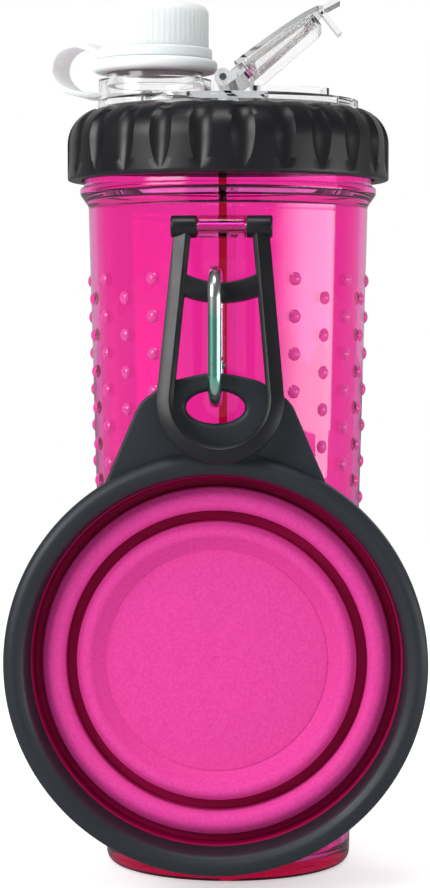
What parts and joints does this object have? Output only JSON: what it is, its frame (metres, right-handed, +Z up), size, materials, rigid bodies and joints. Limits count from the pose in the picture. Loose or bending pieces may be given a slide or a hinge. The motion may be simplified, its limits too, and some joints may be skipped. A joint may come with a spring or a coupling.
{
  "type": "dog travel water bottle",
  "caption": "Travel bottle for dogs: water and food chambers, a screw spout, a food hatch, a carry handle and a folding silicone bowl on a carabiner.",
  "frame": {"origin": "centre of the bottle's base, on the plane that it stands on", "axes": "+Z up the bottle's axis; -Y to the front, where the handle and the bowl hang; +X to the viewer's right, the food side"},
  "size_m": [0.112, 0.105, 0.242],
  "materials": {
    "pink_body": "see-through pink copolyester, smooth",
    "clear_lid": "clear moulded plastic, smooth",
    "frosted_plastic": "frosted polypropylene",
    "black_plastic": "satin black plastic",
    "slate_plastic": "satin dark slate plastic",
    "pink_silicone": "satin pink silicone with a fine grain",
    "seal_silicone": "soft translucent white silicone",
    "anodised_aluminium": "polished, green anodised",
    "pin_steel": "bright drawn wire"
  },
  "bodies": {
    "bottle": {"bottle_body": "pink_body", "grip_studs": "pink_body", "handle_pin": "pin_steel"},
    "lid": {"lid_plate": "clear_lid", "lid_gasket": "seal_silicone", "tether_eyelet": "frosted_plastic", "hatch_pin": "pin_steel", "tether_strap": "frosted_plastic"},
    "collar": {"collar": "black_plastic"},
    "tether_ring": {"tether_ring": "frosted_plastic"},
    "cap": {"spout_cap": "frosted_plastic", "cap_liner": "seal_silicone"},
    "hatch": {"food_hatch": "clear_lid", "hatch_seal": "seal_silicone"},
    "handle": {"carry_handle": "black_plastic"},
    "carabiner": {"carabiner": "anodised_aluminium", "gate_rivet": "pin_steel", "gate_spring": "pin_steel"},
    "gate": {"carabiner_gate": "anodised_aluminium"},
    "bowl_rim": {"bowl_rim": "slate_plastic", "bowl_folds": "pink_silicone"},
    "bowl_floor": {"bowl_floor": "pink_silicone"}
  },
  "joints": [
    {"name": "collar_turn", "type": "hinge", "parent": "lid", "child": "collar", "pos_m": [0, 0, 0.2], "axis": [0, 0, 1], "range_deg": [0, 540]},
    {"name": "lid_lift", "type": "slide", "parent": "bottle", "child": "lid", "axis": [0, 0, 1], "range_m": [0, 0.006]},
    {"name": "cap_turn", "type": "hinge", "parent": "tether_ring", "child": "cap", "pos_m": [-0.0205, 0, 0.23], "axis": [0, 0, 1], "range_deg": [0, 540]},
    {"name": "cap_lift", "type": "slide", "parent": "lid", "child": "tether_ring", "axis": [0, 0, 1], "range_m": [0, 0.006], "deforming": ["tether_strap"]},
    {"name": "hatch_hinge", "type": "hinge", "parent": "lid", "child": "hatch", "pos_m": [-0.0005, 0, 0.2183], "axis": [0, -1, 0], "range_deg": [-38.5, 51.5]},
    {"name": "handle_swing", "type": "hinge", "parent": "bottle", "child": "handle", "pos_m": [0, -0.045, 0.1769], "axis": [-1, 0, 0], "range_deg": [0, 100]},
    {"name": "carabiner_rock", "type": "hinge", "parent": "handle", "child": "carabiner", "pos_m": [-0.0015, -0.04847, 0.16463], "axis": [0, 1, 0], "range_deg": [-8, 8]},
    {"name": "gate_open", "type": "hinge", "parent": "carabiner", "child": "gate", "pos_m": [-0.0015, -0.04207, 0.14013], "axis": [1, 0, 0], "range_deg": [0, 25], "stiffness_Nm_per_rad": 0.0006, "springref_deg": -11.46},
    {"name": "bowl_swing", "type": "hinge", "parent": "carabiner", "child": "bowl_rim", "pos_m": [-0.0015, -0.04847, 0.13103], "axis": [0, 1, 0], "range_deg": [-12, 12]},
    {"name": "bowl_open", "type": "slide", "parent": "bowl_rim", "child": "bowl_floor", "axis": [0, 1, 0], "range_m": [0, 0.04], "deforming": ["bowl_folds"]}
  ],
  "couplings": [
    {"joint": "lid_lift", "follows": "collar_turn", "m_per_rad": 0.0006366},
    {"joint": "cap_lift", "follows": "cap_turn", "m_per_rad": 0.0006366},
    {"joint": "bowl_open", "follows": "handle_swing", "m_per_rad": 0.0229}
  ]
}
